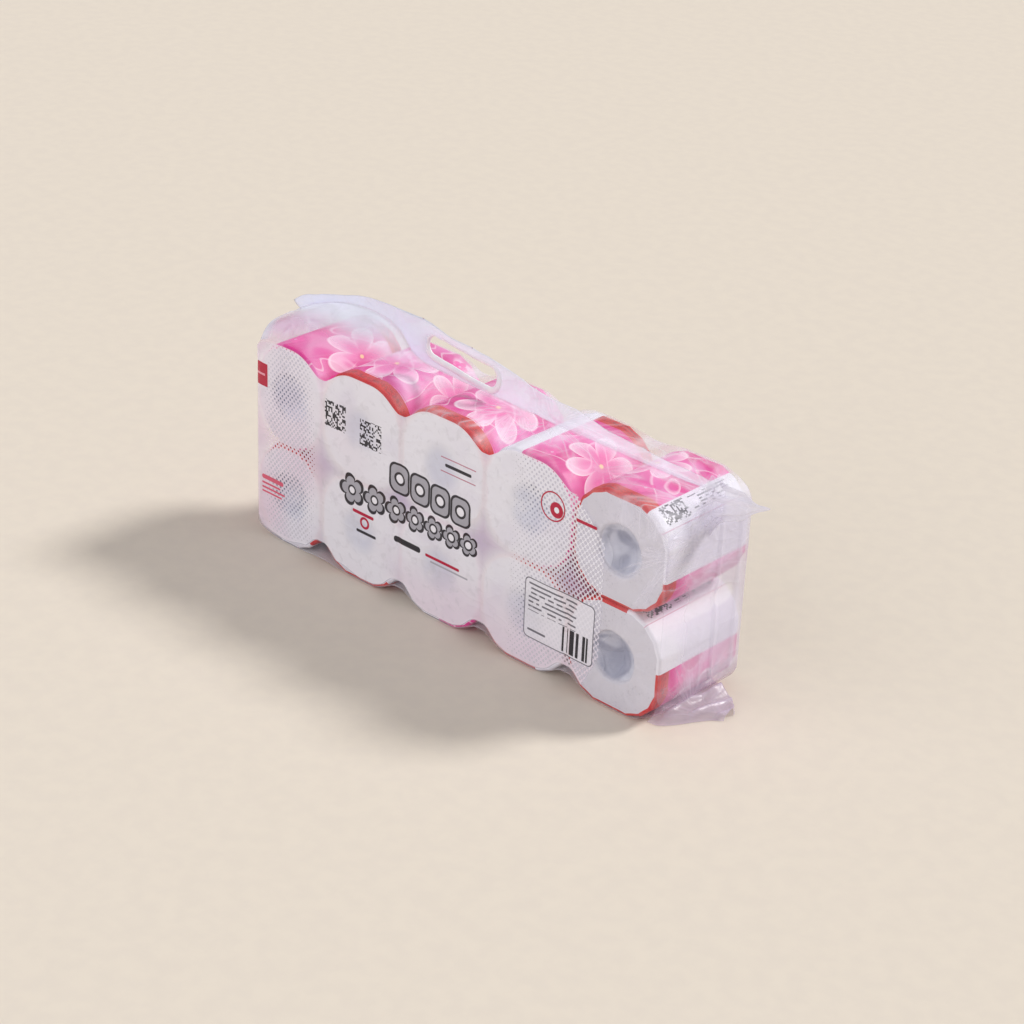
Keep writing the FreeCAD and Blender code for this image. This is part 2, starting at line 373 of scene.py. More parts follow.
def makeRollSkin(name, node, rows, inset, half, seed, around):
    # a grid wrapped round the roll: front end, side, back end
    low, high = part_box(node)
    centre = (low + high) / 2
    size = (high - low) / mm
    halfW, halfH = size.x / 2, size.z / 2
    sides = [("side", i / rollLook["along"]) for i in range(rollLook["along"] + 1)]
    allRows = [(r, 1) for r in rows] + [(r, 1) for r in sides] + [(r, -1) for r in reversed(rows)]
    clearSelection()
    bpy.ops.mesh.primitive_grid_add(x_subdivisions=around, y_subdivisions=len(allRows) - 1, size=2)
    piece = bpy.context.object
    piece.name = name
    places = []
    for vertex in piece.data.vertices:
        i = round((vertex.co.x + 1) / 2 * around)
        j = round((vertex.co.y + 1) / 2 * (len(allRows) - 1))
        row, side = allRows[j]
        backSeed = 2.4 if side < 0 else 0
        x, y, z = rollPoint(row, i / around, halfW, halfH, half, seed + backSeed, inset)
        if row[0] == "side":
            along = (y + half) / (2 * half)
            vertex.co = centre + Vector((x, y, z)) * mm
        else:
            vertex.co = centre + Vector((x, -side * y, z)) * mm
            # past the side's 0 to 1, so that the material can tell the end's parts apart
            along = {
                "fold": -0.012, "face": -0.30 + 0.27 * row[1], "lip": -0.305,
                "tuck": -0.55 + 0.24 * row[1], "bore": -0.3,
            }[row[0]]
            if side < 0:
                along = 1 - along
        places.append((i / around, along))
    return piece, places


def rollSeed(row, column):
    return column * 1.7 + (5.3 if row == "upper" else 0.0)


def makeWrapper(row, column, material):
    node = f"{row}_roll_{column + 1}_wrapper"
    low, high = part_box(node)
    half = (high.y - low.y) / mm / 2
    piece, places = makeRollSkin(f"wrapper_{row}_{column + 1}", node, endRows(True), 0.0, half,
                                 rollSeed(row, column), rollLook["around"])
    layer = piece.data.uv_layers.active.data
    turn = printTurn[row][column]
    front = redInFront[row][column]
    for loop in piece.data.loops:
        around, along = places[loop.vertex_index]
        layer[loop.index].uv = (around + turn, along if front else 1 - along)
    weld(0.00001)
    finishPiece(piece, material, node)
    return piece


def makeTissue(row, column, material):
    # the wound tissue under the wrapper, pressed like it, with a bore for the core
    node = f"{row}_roll_{column + 1}_paper"
    wrapper = f"{row}_roll_{column + 1}_wrapper"
    low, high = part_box(node)
    half = (high.y - low.y) / mm / 2 - 0.35
    piece = makeRollSkin(f"tissue_{row}_{column + 1}", wrapper, endRows(False), rollLook["tissueInset"], half,
                         rollSeed(row, column), rollLook["tissueAround"])[0]
    weld(0.00001, bridgeRims=True)
    finishPiece(piece, material, node)


# ---- printed wrapper film ----
wrapperPrint = {
    "around": 330.0,         # mm round a roll
    "length": 100.7,
    "redWidth": 12.5,
    "whiteFrom": 263.0,
    "vivid": fromPaint(220, 38, 144),
    "rose": fromPaint(236, 122, 188),
    "pale": fromPaint(240, 190, 222),
    "white": fromPaint(232, 230, 240),
    "red": fromPaint(200, 24, 30),
    "grey": fromPaint(90, 88, 98),
    # place round the roll, place along it, size, turn
    "lilies": [(52, 58, 34, 0.4), (150, 46, 38, 1.3), (214, 66, 30, 2.2)],
    "blossoms": [(12, 30, 8, 0.2), (96, 84, 9, 1.1), (104, 22, 7, 0.7), (186, 88, 8, 2.0), (238, 24, 9, 0.4),
                 (18, 84, 7, 1.6)],
    "petalEdge": fromPaint(248, 220, 236), "petalRim": fromPaint(252, 238, 246),
    "sweepEdge": fromPaint(250, 214, 232),
    "flowerHeart": fromPaint(246, 214, 150), "smallBlossom": fromPaint(240, 96, 176),
    "codeInk": fromPaint(60, 58, 66), "rule": fromPaint(196, 110, 146),
    "redInk": fromPaint(128, 30, 30), "redWorn": fromPaint(224, 84, 60), "pin": fromPaint(222, 60, 130),
    "end": fromPaint(214, 211, 221), "endSpeck": fromPaint(150, 148, 160),
    "endCloud": fromPaint(196, 192, 204),
    # painted shade and light of the tucked film in the core mouths
    "tuckShade": fromPaint(166, 168, 186), "tuckLitFacet": fromPaint(212, 213, 226),
    "tuckDeepShade": fromPaint(138, 140, 160),
}


def flower(x, y, cx, cy, size, turn, petals, waist):
    # distance from the flower's middle as a share of the petal's reach there, and the plain distance
    dx = x - cx
    dy = y - cy
    r = (dx * dx + dy * dy) ** 0.5
    angle = dy.math("ARCTAN2", dy, dx)
    swing = angle * (petals / 2) + turn
    lobe = abs(swing.math("COSINE", swing)) ** 0.6
    return r / ((lobe * (1 - waist) + waist) * size), r


def makeWrapperMaterial():
    look = wrapperPrint
    material, start, shader = newMaterial("wrapperFilm", {"Roughness": 0.5, "Specular IOR Level": 0.28})
    uv = start.node("ShaderNodeTexCoord", out=2)
    v = uv.part(1)
    place = objectPlace(start)
    x = uv.part(0).fract() * look["around"]
    y = v * look["length"]
    # soft fields of pink, from vivid to pale
    field = start.joined(x / 95, y / 75, 0.0)
    cloud = field.noise(1.7, 1.5, 0.4)
    art = cloud.rise(0.42, 0.54).mix(look["vivid"], look["rose"])
    art = cloud.rise(0.53, 0.64).mix(art, look["pale"])
    # broad sweeping petals with a pale line along their edge
    sweepAt = start.joined(x / 58 + y / 140, y / 48, 6.0)
    sweep = sweepAt.noise(1.0, 0.0, 0.9)
    petal = sweep.rise(0.515, 0.525)
    art = (petal * 0.45).mix(art, look["vivid"])
    art = (sweep.rise(0.505, 0.515) * sweep.fall(0.518, 0.545) * 0.7).mix(art, look["sweepEdge"])
    rayAt = start.joined(x / 7 + y / 22, y / 120, 3.0)
    ray = rayAt.noise(1.0, 1.0)
    art = (ray.rise(0.54, 0.74) * 0.3).mix(art, look["pale"])
    # big pale flowers, each petal whiter at its rim
    for cx, cy, size, turn in look["lilies"]:
        share, r = flower(x, y, cx, cy, size, turn, 6, 0.38)
        inside = share.fall(0.94, 1.02)
        tone = share.rise(0.25, 1.0).mix(look["rose"], look["petalEdge"])
        art = (inside * (share.rise(0.1, 0.9) * 0.35 + 0.38)).mix(art, tone)
        art = (share.rise(0.9, 0.95) * share.fall(0.97, 1.02) * 0.6).mix(art, look["petalRim"])
        art = (share.fall(0.2, 0.9) * r.fall(2.0, 6.0) * 0.6).mix(art, look["vivid"])
        art = r.fall(1.4, 2.6).mix(art, look["flowerHeart"])
    # small solid blossoms with a pale heart
    for cx, cy, size, turn in look["blossoms"]:
        share, r = flower(x, y, cx, cy, size, turn, 5, 0.5)
        art = (share.fall(0.9, 1.05) * 0.8).mix(art, look["smallBlossom"])
        art = (r.fall(1.0, 1.8) * 0.8).mix(art, look["pale"])
    # plain white panel with a strip of small marks where print would be
    white = x.rise(look["whiteFrom"] - 0.4, look["whiteFrom"] + 0.4)
    colour = white.mix(art, look["white"])
    sx = x - look["whiteFrom"]
    cells = start.joined((sx / 2.7).floor(), (y / 4.0).floor(), 0.0)
    words = cells.chance("2D")
    bars = (sx / 2.7).fract().fall(0.46, 0.56) * sx.rise(3.0, 3.2) * sx.fall(16.3, 16.6)
    barMask = bars * words.rise(0.34, 0.39) * y.rise(42, 42.5) * y.fall(88, 88.5)
    colour = (barMask * 0.9).mix(colour, look["grey"])
    cell = start.joined((sx / 1.5).floor(), (y / 1.6).floor(), 0.0)
    block = cell.chance("2D")
    inBlock = sx.rise(1.5, 1.6) * sx.fall(18.0, 18.1) * y.rise(8.0, 8.1) * y.fall(36.8, 36.9)
    colour = (inBlock * block.rise(0.42, 0.46) * 0.95).mix(colour, look["codeInk"])
    colour = (sx.rise(21.2, 21.5) * sx.fall(22.0, 22.3) * 0.6).mix(colour, look["rule"])
    # red edge with a thin deep pink line beside it
    inkShift = start.joined(x / 14, y / 30, 2.0)
    longInk = inkShift.noise(1.0, 1.0)
    width = look["redWidth"]
    red = y.fall(width, width + 0.3)
    inkAt = start.joined(x / 3.4 + y / 5, y / 2.6, 0.0)
    marks = inkAt.noise(1.0, 1.0)
    marked = marks.rise(0.48, 0.54) * y.rise(3.0, 3.6) * y.fall(8.6, 9.2) * 0.6
    redTone = marked.mix(look["red"], look["redInk"])
    redTone = (longInk.rise(0.4, 0.65) * 0.35).mix(redTone, look["redWorn"])
    colour = (red * (1 - white)).mix(colour, redTone)
    pin = y.rise(width + 1.0, width + 1.2) * y.fall(width + 2.0, width + 2.2)
    colour = (pin * 0.65 * (1 - white)).mix(colour, look["pin"])
    # the ends are white, with the tissue's grey specks showing through
    onEnd = v.fall(-0.022, -0.016).most(v.rise(1.016, 1.022))
    specks = start.node("ShaderNodeTexVoronoi", None, {"Vector": place, "Scale": 300.0})
    speckNoise = place.noise(70.0, 4.0)
    endTone = (specks.fall(0.15, 0.34) * speckNoise.rise(0.46, 0.6) * 0.3).mix(look["end"], look["endSpeck"])
    endTone = (speckNoise.rise(0.42, 0.7) * 0.22).mix(endTone, look["endCloud"])
    colour = onEnd.mix(colour, endTone)
    # painted shade: the tucked film in the core mouth is painted grey for the shaded hole behind it, with
    # lighter and darker patches for light and shade on its crumpled facets, and darker deeper in
    depth = v.fall(-0.33, -0.30).most(v.rise(1.30, 1.33))
    crumple = place.noise(30.0, 1.0, 1.6)
    tuckShading = crumple.rise(0.38, 0.62).mix(look["tuckShade"], look["tuckLitFacet"])
    deep = v.fall(-0.50, -0.36).most(v.rise(1.36, 1.50))
    tuckShading = (deep * 0.3).mix(tuckShading, look["tuckDeepShade"])
    colour = depth.mix(colour, tuckShading)
    feed(start, shader, "Base Color", colour)
    # wrinkles: long soft ones along the roll, fine ones at the pleated ends
    longAt = start.joined(x / 10, y / 46, place.part(2) * 8)
    longFolds = longAt.noise(1.0, 2.0, 0.5)
    fine = place.noise(120.0, 3.0, 1.0)
    broad = place.noise(34.0, 2.0, 0.8)
    foldAt = place.noise(42.0, 1.0, 1.0)
    sharp = foldAt.ridged(5) * depth
    height = fine * 0.12 + broad * 0.7 + longFolds * 0.8 + sharp * 1.2
    feed(start, shader, "Normal", height.bump(0.35, 0.0014))
    return material


wrapperMaterial = makeWrapperMaterial()
wrappers = []
for rowName in rowNames:
    for columnNow in range(columnCount):
        wrappers.append(makeWrapper(rowName, columnNow, wrapperMaterial))
print("wrappers made:", len(wrappers))


# ---- tissue and cores ----
paperLook = {
    # roughness, size of the grain, its detail, two tones, strength and depth of its relief
    "tissuePaper": (0.9, 420.0, 5.0, fromPaint(236, 234, 232), fromPaint(246, 245, 244), 0.5, 0.0006),
    "coreBoard": (0.85, 260.0, 4.0, fromPaint(172, 158, 140), fromPaint(198, 186, 168), 0.3, 0.0004),
}


def makePaperMaterial(name):
    roughness, scale, detail, dark, pale, strength, depth = paperLook[name]
    material, start, shader = newMaterial(name, {"Roughness": roughness})
    grain = objectPlace(start).noise(scale, detail)
    feed(start, shader, "Base Color", grain.rise(0.3, 0.7).mix(dark, pale))
    feed(start, shader, "Normal", grain.bump(strength, depth))
    return material


tissueMaterial = makePaperMaterial("tissuePaper")
coreMaterial = makePaperMaterial("coreBoard")
for rowName in rowNames:
    for columnNow in range(columnCount):
        makeTissue(rowName, columnNow, tissueMaterial)
for name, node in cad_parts.items():
    if name.endswith("_core"):
        node.data.materials.clear()
        node.data.materials.append(coreMaterial)
print("tissue and cores finished")


# ---- carry bag ----
bagShape = {
    "stations": 250,
    "frontRows": 44, "roofRows": 26, "finRows": 16, "backRows": 44, "bottomRows": 44,
    "edgeRound": 3.0,
    "clear": 1.5,            # film stands this far off the rolls
    "gapDip": 0.9,           # it sinks between the roll ends
    "topValley": 15.0, "bottomValley": 12.0,
    "backShare": [(30, 0.6), (60, 0.6), (110, 0.25), (140, 0.25)],
    "topFill": (0.75, 0.45), "bottomFill": (0.75, 0.55),  # how full its left and right corners are
    "footTuck": 16.0,        # its right foot is drawn in this far
    "footFilled": 0.85,      # share of the first dip that the hanging foot fills
    "filledSpan": (-192, -165, -120, -92),
    "slackLength": 170.0,    # the roof is full of air this far from the left
    # heights above the rolls at places along the bag
    "finTop": [(0, 15), (14, 27), (56, 40), (87, 49), (118, 52), (165, 51), (189, 46), (212, 43), (235, 38),
               (258, 31), (290, 22), (330, 21), (362, 20), (440, 16), (470, 12)],
    "seal": [(0, 10), (24, 22), (58, 33), (95, 36), (122, 30), (142, 12), (170, 7), (250, 5), (300, 4),
             (440, 3), (470, 6)],
    "finEar": 10.0,          # its left end sticks out this far
    # how far the fin has fallen over, in degrees, to the back
    "lean": [(0, 0), (262, 0), (315, 45), (350, 80), (470, 84)],
}


rollSpans = []
for columnNow in range(columnCount):
    low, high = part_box(f"lower_roll_{columnNow + 1}_wrapper")
    rollSpans.append((low.x / mm, high.x / mm))
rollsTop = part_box("upper_roll_3_wrapper")[1].z / mm
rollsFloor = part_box("lower_roll_3_wrapper")[0].z / mm
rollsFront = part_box("upper_roll_3_wrapper")[0].y / mm
rowMiddles = []
for rowName in rowNames:
    low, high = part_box(f"{rowName}_roll_3_wrapper")
    rowMiddles.append((low.z + high.z) / 2 / mm)
rollHalf = (rollsTop - rollsFloor) / 4
bagLeft = rollSpans[0][0] - 0.6
bagRight = rollSpans[-1][1] + 0.6


def filmDrop(x, fills, valley):
    # how far the film has dropped from the rolls' top (or risen from their foot) at x
    radius = rollLook["cornerRadius"]
    drop = 1e9
    for i, (left, right) in enumerate(rollSpans):
        centre = (left + right) / 2
        beyond = abs(x - centre) - ((right - left) / 2 - radius)
        if beyond <= 0:
            here = 0.0
        elif beyond < radius:
            here = radius - math.sqrt(radius * radius - beyond * beyond)
        else:
            here = radius
        if i == 0 and x < centre:
            here *= 1 - fills[0]
        if i == columnCount - 1 and x > centre:
            here *= 1 - fills[1]
        drop = min(drop, here)
    inner = smooth(0, 20, x - rollSpans[0][0] - 20) * smooth(0, 20, rollSpans[-1][1] - 20 - x)
    if inner > 0:
        return -blendMax(-drop, -valley, 9.0 * inner + 0.01)
    return drop


def rollDistance(x, z):
    # how far a point of the front lies outside the nearest roll end, and how far from its middle
    radius = rollLook["cornerRadius"]
    best, middle = 1e9, 1e9
    for left, right in rollSpans:
        for cz in rowMiddles:
            cx = (left + right) / 2
            qx = max(0.0, abs(x - cx) - (right - left) / 2 + radius)
            qz = max(0.0, abs(z - cz) - rollHalf + radius)
            outside = math.hypot(qx, qz) - radius
            if outside < best:
                best, middle = outside, math.hypot(x - cx, z - cz)
    return best, middle


def fan(a, b, reach, count, seed):
    # pleats that fan out from a gathered place at (0, 0), strongest near it
    r = math.hypot(a, b)
    angle = math.atan2(b, a)
    wobble = noise.noise(Vector((a * 0.03, b * 0.03, seed))) * 1.5
    ridge = 1 - abs(math.sin(angle * count + wobble + seed))
    n = 0.6 + 0.8 * noise.noise(Vector((angle * 2.0, seed, r * 0.01)))
    return ridge ** 2.6 * max(0.0, n) * math.exp(-r / reach) * smooth(2, 14, r)


def crinkle(p, seed, scale):
    # film creases from folded noise, -0.2 to 0.8
    x, y, z = [value * scale for value in p]
    n = noise.noise(Vector((x + seed, y, z)))
    m = noise.noise(Vector((x * 2.3, y * 2.3 + seed, z * 2.3)))
    return (1 - abs(n) * 3) * 0.6 + (1 - abs(m) * 3) * 0.25


def finFold(p):
    # broad slanting folds of the fin, with creases on them
    wander = 1.5 * noise.noise(Vector((p[0] * 0.012, p[2] * 0.02, 3.0)))
    sweep = 1 - abs(math.sin(p[0] * 0.045 - p[2] * 0.05 + wander))
    return 0.9 * crinkle(p, 7.0, 0.03) + 1.1 * sweep ** 3 - 0.6


def finSway(x):
    return 2.5 * math.sin(x * 0.021 + 0.6) + 1.2 * math.sin(x * 0.063)


def footDrawn(x, z, atBack):
    # past the roll's round corner, the film's lower right edge is drawn in to the ear
    if atBack or x < bagRight - 40 or z > 45:
        return 0.0
    return bagShape["footTuck"] * smooth(0.5, 9, rollDistance(x, z)[0])


def inFilledSpan(x):
    a, b, c, d = bagShape["filledSpan"]
    return smooth(a, b, x) * smooth(d, c, x)


def footHeight(x, filled):
    # the film's foot, which hangs straight down between the first two columns
    rise = filmDrop(x, bagShape["bottomFill"], bagShape["bottomValley"])
    if filled:
        rise *= 1 - bagShape["footFilled"] * inFilledSpan(x)
    return max(0.15, rollsFloor - 0.45 + rise)


def bagHalf(x, atBack):
    # the film on one side at x: foot, wall, edge and roof up to the seal, as (out, height, kind)
    shape = bagShape
    topDrop = filmDrop(x, shape["topFill"], shape["topValley"])
    if atBack:
        # the back is pulled straighter across the dips
        inner = smooth(0, 30, x - bagLeft - 30) * smooth(0, 30, bagRight - 34 - x)
        topDrop *= 1 - (1 - fromLine(shape["backShare"], x)) * inner
    front = -rollsFront + shape["clear"]
    top = rollsTop + shape["clear"] - topDrop
    foot = footHeight(x, True)
    share = x - bagLeft
    slack = smooth(0, 1, 1 - share / shape["slackLength"])
    seal = rollsTop + fromLine(shape["seal"], share)
    r = shape["edgeRound"]
    half = []
    for angle in (90, 60, 30):
        a = math.radians(angle)
        z = foot + r - r * math.sin(a)
        half.append((front - footDrawn(x, z, atBack) - r + r * math.cos(a), z, "foot"))
    rows = shape["frontRows"]
    for i in range(rows + 1):
        z = foot + r + (top - foot - 2 * r) * i / rows
        half.append((front - footDrawn(x, z, atBack), z, "back" if atBack else "front"))
    for angle in (30, 60):
        a = math.radians(angle)
        half.append((front - r + r * math.cos(a), top - r + r * math.sin(a), "edge"))
    rows = shape["roofRows"]
    for i in range(rows + 1):
        s = i / rows
        arch = 1 - (1 - s) ** (2.4 + 3.6 * smooth(0, 1, 1 - share / 60))
        tent = s ** 1.6
        g = tent + (arch - tent) * slack
        half.append(((front - r) * (1 - s) + 0.3 * s, top + (seal - top) * g, "roof"))
    return half, seal, foot, top


def bagRing(x):
    # once round the bag at x: foot, front, roof, fin up and down, roof, back
    half, seal, foot, top = bagHalf(x, False)
    backHalf = bagHalf(x, True)[0]
    shape = bagShape
    share = x - bagLeft
    finLength = rollsTop + fromLine(shape["finTop"], share) - seal
    lean = math.radians(fromLine(shape["lean"], share))
    closed = min(1.0, min(share, bagRight - x) / 4)
    ring = [[x, -out, z, kind, 0.0] for out, z, kind in half]
    rows = shape["finRows"]
    steps = [k / rows for k in range(1, rows + 1)]
    for side, order in ((-1, steps), (1, reversed(steps))):
        for s in order:
            up = finLength * s
            tilt = lean * smooth(0, 0.3, s)
            y = math.sin(tilt) * up + finSway(x) * s * s * math.cos(tilt)
            z = seal + math.cos(tilt) * up + 1.5 * math.sin(tilt)
            apart = side * 0.3 * closed * (1 - smooth(0.9, 1.0, s))
            out = shape["finEar"] * s ** 0.7 * (1 - smooth(0, 22, share))
            ring.append([x - out, y + apart * math.cos(tilt), z - apart * math.sin(tilt), "fin", s])
    for out, z, kind in reversed(backHalf):
        ring.append([x, out, z, kind, 0.0])
    rows = shape["bottomRows"]
    for i in range(1, rows):
        ring.append([x, backHalf[0][0] - (backHalf[0][0] + half[0][0]) * i / rows, foot, "foot", 0.0])
    return ring, foot, top


def shapeFilm(p, kind, finShare, foot, top):
    # moves a point of the film by its folds; also how milky it is there
    x, y, z = p
    move = Vector((0, 0, 0))
    milky = 0.0
    if kind in ("front", "back"):
        side = -1 if kind == "front" else 1
        outside, middle = rollDistance(x, z)
        dip = bagShape["gapDip"] * smooth(-5, 2.5, outside)
        pull = fan(bagRight + 14 - x, z - rollsTop - 4, 80, 9, 0.4) * 1.6
        pull += fan(bagRight + 8 - x, z + 6, 60, 7, 1.7) * 1.2
        w = 0.3 * crinkle(p, 1.0 + side, 0.018)
        move.y = side * (max(-0.25, w + pull * 0.7) - dip) * smooth(0, 8, z - foot) * smooth(0, 8, top - z)
        milky = 0.25 * pull + 0.10 * smooth(0, 10, outside)
        if kind == "back":
            milky += 0.25
    elif kind == "roof":
        inward = 1 - abs(y) / 50.0
        share = (x - bagLeft)
        fans = fan(x + 68, y * 1.2, 60, 9, 0.3) * 2.0
        fans += fan(bagRight + 8 - x, y, 90, 8, 1.4) * 3.0
        fans += fan(x - 70, y, 70, 7, 2.2) * 2.6
        fans += fan(x - bagLeft + 6, y, 70, 6, 0.9) * 2.2
        w = 0.5 * crinkle(p, 4.0, 0.022)
        move.z = (fans + max(0.0, w)) * smooth(0.02, 0.3, inward)
        tent = 1 - smooth(80, 180, share)
        patch = 0.5 + 0.9 * noise.noise(Vector((x * 0.016, y * 0.02, 3.0)))
        nearSeal = smooth(0.55, 1.0, inward)
        milky = 0.10 * fans + tent * (0.10 + 0.86 * smooth(0.30, 0.86, inward + 0.14 * patch))
        milky += 0.3 * nearSeal * max(0.0, patch)
        milky = max(milky, 0.95 * (1 - smooth(0, 18, share)))
        # film that hangs clear of the rolls is milkier
        over = filmDrop(x, (0.0, 0.0), 40.0)
        milky += 0.42 * smooth(6, 18, over) * smooth(0, 25, y)
        milky += 0.08 * smooth(bagRight - 26, bagRight - 4, x)
    elif kind == "fin":
        move.y = finFold(p) * smooth(0, 0.3, finShare)
        patch = noise.noise(Vector((x * 0.02, z * 0.03, 6.0)))
        milky = (0.80 + 0.22 * patch) * (1 - 0.62 * smooth(225, 320, x - bagLeft))
        milky += 0.5 * smooth(0.95, 1.0, finShare)
    elif kind == "foot":
        milky = 0.35
    return p + move, min(1.0, milky)


def addGrid(across, along, attributes):
    # a flat grid to be shaped, with the attributes that its material reads
    clearSelection()
    bpy.ops.mesh.primitive_grid_add(x_subdivisions=across, y_subdivisions=along, size=2)
    piece = bpy.context.object
    return piece, [piece.data.attributes.new(name, "FLOAT", "POINT") for name in attributes]


def gridPlace(vertex, across, along):
    return round((vertex.co.x + 1) / 2 * across), round((vertex.co.y + 1) / 2 * along)


def makeBagFilm():
    stations = bagShape["stations"]
    sections = [bagRing(bagLeft + (bagRight - bagLeft) * i / stations) for i in range(stations + 1)]
    count = len(sections[0][0])
    piece, (haze, rim, gap) = addGrid(stations, count, ("haze", "rim", "gap"))
    piece.name = "carryBagFilm"
    for vertex in piece.data.vertices:
        i, j = gridPlace(vertex, stations, count)
        ring, foot, top = sections[i]
        x, y, z, kind, finShare = ring[j % count]
        p, milky = shapeFilm(Vector((x, y, z)), kind, finShare, foot, top)
        vertex.co = p * mm
        haze.data[vertex.index].value = milky
        if kind == "front":
            # the print stops above the dips, and a little higher where the foot is filled
            dipFoot = footHeight(x, False)
            low = z - max(dipFoot + 4 * smooth(4, 11, dipFoot), 5 * inFilledSpan(x))
            rim.data[vertex.index].value = min(low * 0.45, top - z)
            gap.data[vertex.index].value = rollDistance(x, z)[0]
        else:
            rim.data[vertex.index].value = -1.0
    return piece


def makeEndPanel(x, atRight):
    # the folded end of the bag, a grid whose edge meets the last section
    half, seal, foot, top = bagHalf(x, False)
    backHalf = bagHalf(x, True)[0]
    across = bagShape["bottomRows"]
    panel, (haze, rim) = addGrid(across, len(half) - 1, ("haze", "rim"))
    side = 1 if atRight else -1
    for vertex in panel.data.vertices:
        i, j = gridPlace(vertex, across, len(half) - 1)
        reach, z, kind = half[j]
        y = (reach + backHalf[j][0]) * i / across - reach
        z += (backHalf[j][1] - z) * i / across
        inner = smooth(0, 9, min(reach + y, backHalf[j][0] - y))
        inner *= smooth(0, 10, z - foot) * smooth(0, 10, seal - z)
        middle = (rollsTop + rollsFloor) / 2
        waist = math.exp(-((z - middle) / 9) ** 2) * 3.0 * math.exp(-(y / 40) ** 4)
        gusset = math.exp(-((y - 15) / 1.8) ** 2) * 1.8 + math.exp(-((y - 41) / 2.2) ** 2) * 1.0
        pull = fan(rollsTop - 2 - z, y - 3, 45, 5, 0.5) * 2.6 + fan(z - 2, y + 4, 34, 6, 1.5) * 2.4
        wander = 1.1 * noise.noise(Vector((y * 0.02, z * 0.03, 5.0)))
        level = 1 - abs(math.sin(z * 0.11 + y * 0.012 + wander))
        bands = level ** 5 * 1.2 * smooth(rollsTop - 84, rollsTop - 64, z) * smooth(12, -10, y)
        bulge = 0.0 if atRight else 3.0
        out = pull + bands + 0.35 * crinkle((x, y, z), 9.0, 0.02) + gusset - waist + bulge
        vertex.co = Vector((x + side * out * inner, y, z)) * mm
        milky = 0.09 + 0.09 * pull + 0.28 * bands + 0.14 * gusset
        milky += 0.3 * smooth(rollsTop - 10, rollsTop + 4, z)
        milky += 0.34 * smooth(-36, -10, y) + 0.22 * smooth(13, 24, y) + 0.20 * (1 - smooth(10, 55, z))
        if not atRight:
            milky += 0.5 * smooth(rollsTop - 30, rollsTop, z)
        haze.data[vertex.index].value = min(0.9, milky) * (0.6 + 0.4 * inner)
        rim.data[vertex.index].value = -1.0
    return panel


slotLook = {
    "length": 81.0, "width": 20.0,
    "x": -28.5, "above": 25.0, "tilt": 7.0,
    "rim": 3.0, "rimOut": 1.9,   # the rim's thickness, and how far outside the slot its middle runs
    "cutOut": 1.4,               # film is cut away to this far outside the slot
}


def finPlace(x, z):
    # where the fin's middle stands in depth at x and height z
    share = x - bagLeft
    seal = rollsTop + fromLine(bagShape["seal"], share)
    s = min(1.0, max(0.0, (z - seal) / (rollsTop + fromLine(bagShape["finTop"], share) - seal)))
    y = finSway(x) * s * s
    return y + finFold((x, y, z)) * smooth(0, 0.3, s)


def slotDistance(x, z):
    # how far a point of the fin is outside the slot's outline, in mm
    a = math.radians(slotLook["tilt"])
    dx = x - slotLook["x"]
    dz = z - (rollsTop + slotLook["above"])
    u = dx * math.cos(a) - dz * math.sin(a)
    v = dx * math.sin(a) + dz * math.cos(a)
    straight = (slotLook["length"] - slotLook["width"]) / 2
    return math.hypot(max(0.0, abs(u) - straight), v) - slotLook["width"] / 2


def makeSlotRim():
    look = slotLook
    clearSelection()
    bpy.ops.mesh.primitive_torus_add(major_radius=(look["width"] / 2 + look["rimOut"]) * mm,
                                     minor_radius=look["rim"] * mm, major_segments=96, minor_segments=16)
    rim = bpy.context.object
    straight = (look["length"] - look["width"]) / 2
    a = math.radians(look["tilt"])
    for vertex in rim.data.vertices:
        u, v, w = vertex.co / mm
        u += straight * smooth(-0.6, 0.6, u / 4) * 2 - straight
        w *= 0.6
        x = u * math.cos(a) + v * math.sin(a)
        z = -u * math.sin(a) + v * math.cos(a)
        x += look["x"]
        z += rollsTop + look["above"]
        vertex.co = Vector((x, w + finPlace(x, z), z)) * mm
    rim.name = "handleRim"
    bpy.ops.object.shade_smooth()
    return rim


def cutSlot(piece):
    pick(piece)
    bpy.ops.object.mode_set(mode="EDIT")
    bpy.ops.mesh.select_mode(type="FACE")
    bpy.ops.mesh.select_all(action="DESELECT")
    bpy.ops.object.mode_set(mode="OBJECT")
    for face in piece.data.polygons:
        c = face.center / mm
        if abs(c.y) < 8 and c.z > rollsTop + 9 and slotDistance(c.x, c.z) < slotLook["cutOut"]:
            face.select = True
    bpy.ops.object.mode_set(mode="EDIT")
    bpy.ops.mesh.delete(type="FACE")
    bpy.ops.object.mode_set(mode="OBJECT")


earLook = {
    # x past the end, half height, half thickness, height above the rolls, place in depth
    "top": [(-1.5, 27, 15.0, -9, 0), (2, 22, 10.0, -6, 0.5), (6, 17, 6.5, -4, 1),
            (12, 13.5, 4.2, -2.5, 2.5), (19, 12, 3.0, -2, 4.5), (26, 10.2, 2.3, -1.5, 7),
            (31, 6.0, 1.8, -0.7, 8.2), (36, 3.2, 1.4, 0.2, 9.6), (42, 1.8, 0.9, 1.9, 11),
            (46, 0.6, 0.4, 2.9, 12)],
    # x past the end, front reach, back reach, height of its middle
    "foot": [(-14, -44, 40, 15.0), (-4, -42, 38, 16.0), (5, -31, 34, 14.0), (12, -18, 31, 11.0),
             (18, -8, 28, 9.0), (22, -3, 23, 8.5), (26, 0, 19, 8.5), (28, 2, 15, 8.0)],
    "leftFoot": (0.48, 0.6),     # the left foot ear's length and height, as shares of the right one's
}


def alongRows(rows, at):
    # the row at a place between two rows, on smooth lines through them all
    return [fromLine([(k, row[i]) for k, row in enumerate(rows)], at) for i in range(len(rows[0]))]


